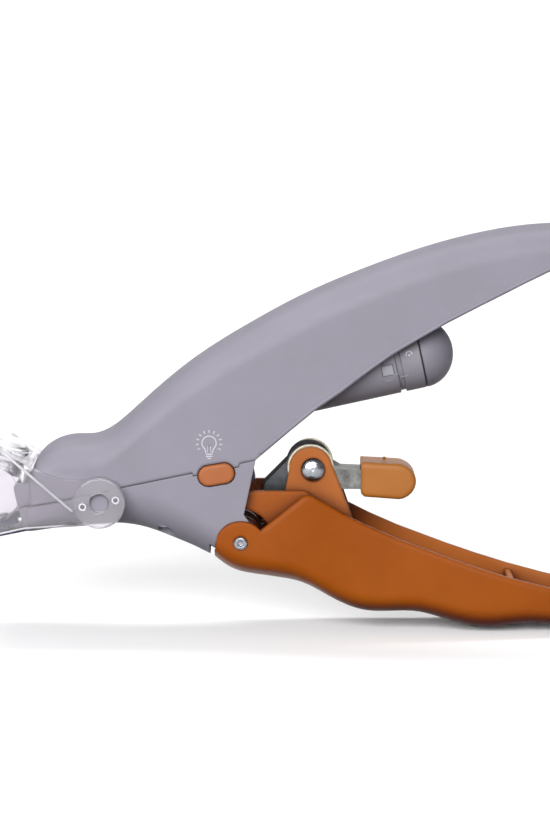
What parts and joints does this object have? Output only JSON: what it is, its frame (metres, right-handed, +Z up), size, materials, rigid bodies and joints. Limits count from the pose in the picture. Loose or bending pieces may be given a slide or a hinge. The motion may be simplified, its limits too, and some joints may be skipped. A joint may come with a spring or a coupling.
{
  "type": "pet nail trimmer",
  "caption": "Sprung hand trimmer for pets' nails: bowed grey grip and orange lever, sliding blade in the nose, clear flip-up magnifier hood, lamp, battery tube and handle lock.",
  "frame": {"origin": "centre of the bounding box in X and Y, at the height of the lowest point", "axes": "+X from the nose to the handle tips, +Y away from the lamp button's side, +Z up through the upper grip"},
  "size_m": [0.176, 0.0332, 0.1013],
  "materials": {
    "grey_plastic": "fine satin",
    "orange_plastic": "fine satin",
    "ochre_plastic": "satin",
    "clear_plastic": "polished",
    "zinc_steel": "bright zinc",
    "blued_steel": "dark",
    "blade_steel": "ground",
    "black_rubber": "matt",
    "lamp_resin": "clear",
    "board": "solder mask",
    "wire_red": "insulation",
    "wire_black": "insulation"
  },
  "bodies": {
    "housing": {"upper_housing": "grey_plastic", "lower_housing": "grey_plastic", "ring_plate": "blade_steel", "plate_rivets": "zinc_steel", "housing_screws": "zinc_steel", "pivot_screw": "zinc_steel", "return_spring": "zinc_steel", "battery_tube": "grey_plastic", "button_cells": "blade_steel", "front_contact": "zinc_steel", "led_lamp": "lamp_resin", "switch_board": "board", "tact_switch": "board", "wire_live": "wire_red", "wire_return": "wire_black"},
    "lever": {"lever_handle": "orange_plastic", "drive_pin": "zinc_steel", "lock_rivet": "zinc_steel", "lock_washers": "zinc_steel"},
    "blade": {"blade_carrier": "blued_steel", "cutting_blade": "blade_steel", "blade_rivets": "zinc_steel"},
    "hood": {"hood_shell": "clear_plastic", "magnifier_lens": "clear_plastic", "hub_disc_near": "clear_plastic", "hub_disc_far": "clear_plastic"},
    "lock": {"lock_lever": "zinc_steel", "lock_grip": "ochre_plastic"},
    "button": {"led_button": "orange_plastic"},
    "cap": {"battery_cap": "grey_plastic", "cap_seal": "black_rubber", "cap_contact": "zinc_steel"}
  },
  "joints": [
    {"name": "lever_pivot", "type": "hinge", "parent": "housing", "child": "lever", "pos_m": [-0.01475, 0, 0.0235], "axis": [0, -1, 0], "range_deg": [0, 22], "stiffness_Nm_per_rad": 0.4, "springref_deg": -20.05, "deforming": ["return_spring"]},
    {"name": "blade_slide", "type": "slide", "parent": "housing", "child": "blade", "axis": [-0.98, 0, -0.199], "range_m": [0, 0.00593]},
    {"name": "hood_pivot", "type": "hinge", "parent": "housing", "child": "hood", "pos_m": [-0.0495, 0, 0.0336], "axis": [0, 1, 0], "range_deg": [0, 70]},
    {"name": "lock_pivot", "type": "hinge", "parent": "lever", "child": "lock", "pos_m": [0.00315, 0, 0.0407], "axis": [0, 1, 0], "range_deg": [0, 18]},
    {"name": "led_button_push", "type": "slide", "parent": "housing", "child": "button", "axis": [0, 1, 0], "range_m": [0, 0.0005], "stiffness_N_per_m": 800, "springref_m": -0.0002},
    {"name": "battery_cap_twist", "type": "hinge", "parent": "housing", "child": "cap", "pos_m": [0.0282, 0, 0.0685], "axis": [0.9766, 0, 0.2149], "range_deg": [0, 30]}
  ],
  "couplings": [
    {"joint": "blade_slide", "follows": "lever_pivot", "m_per_rad": 0.015405}
  ]
}
